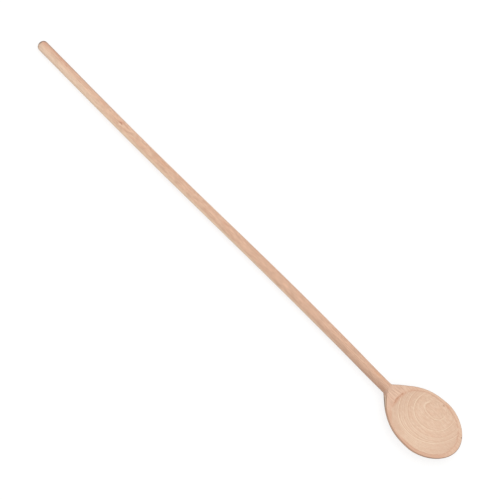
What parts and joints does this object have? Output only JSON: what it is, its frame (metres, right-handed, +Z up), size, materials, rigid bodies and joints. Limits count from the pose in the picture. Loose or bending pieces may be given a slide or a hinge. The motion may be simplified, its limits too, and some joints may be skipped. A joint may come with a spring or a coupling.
{
  "type": "stirring spoon",
  "caption": "Long wooden stirring spoon: flat-faced oval head with a shallow hollow and a domed back, on a slim round handle with a rounded end, held by a glued spigot.",
  "frame": {"origin": "under the middle of the spoon's bounding box, on the surface that it lies on", "axes": "+X from the end of the handle towards the tip of the bowl, +Z up and out of the hollow, +Y across the bowl"},
  "size_m": [0.8, 0.0844, 0.0198],
  "materials": {
    "head_wood": "raw pale beech, sanded smooth, not varnished",
    "handle_wood": "raw beech, turned and sanded, slightly darker than the head",
    "glue": "cured wood glue, dull and slightly yellow"
  },
  "bodies": {
    "root": {"spoon_head": "head_wood", "handle": "handle_wood", "glue_film": "glue"}
  },
  "joints": []
}
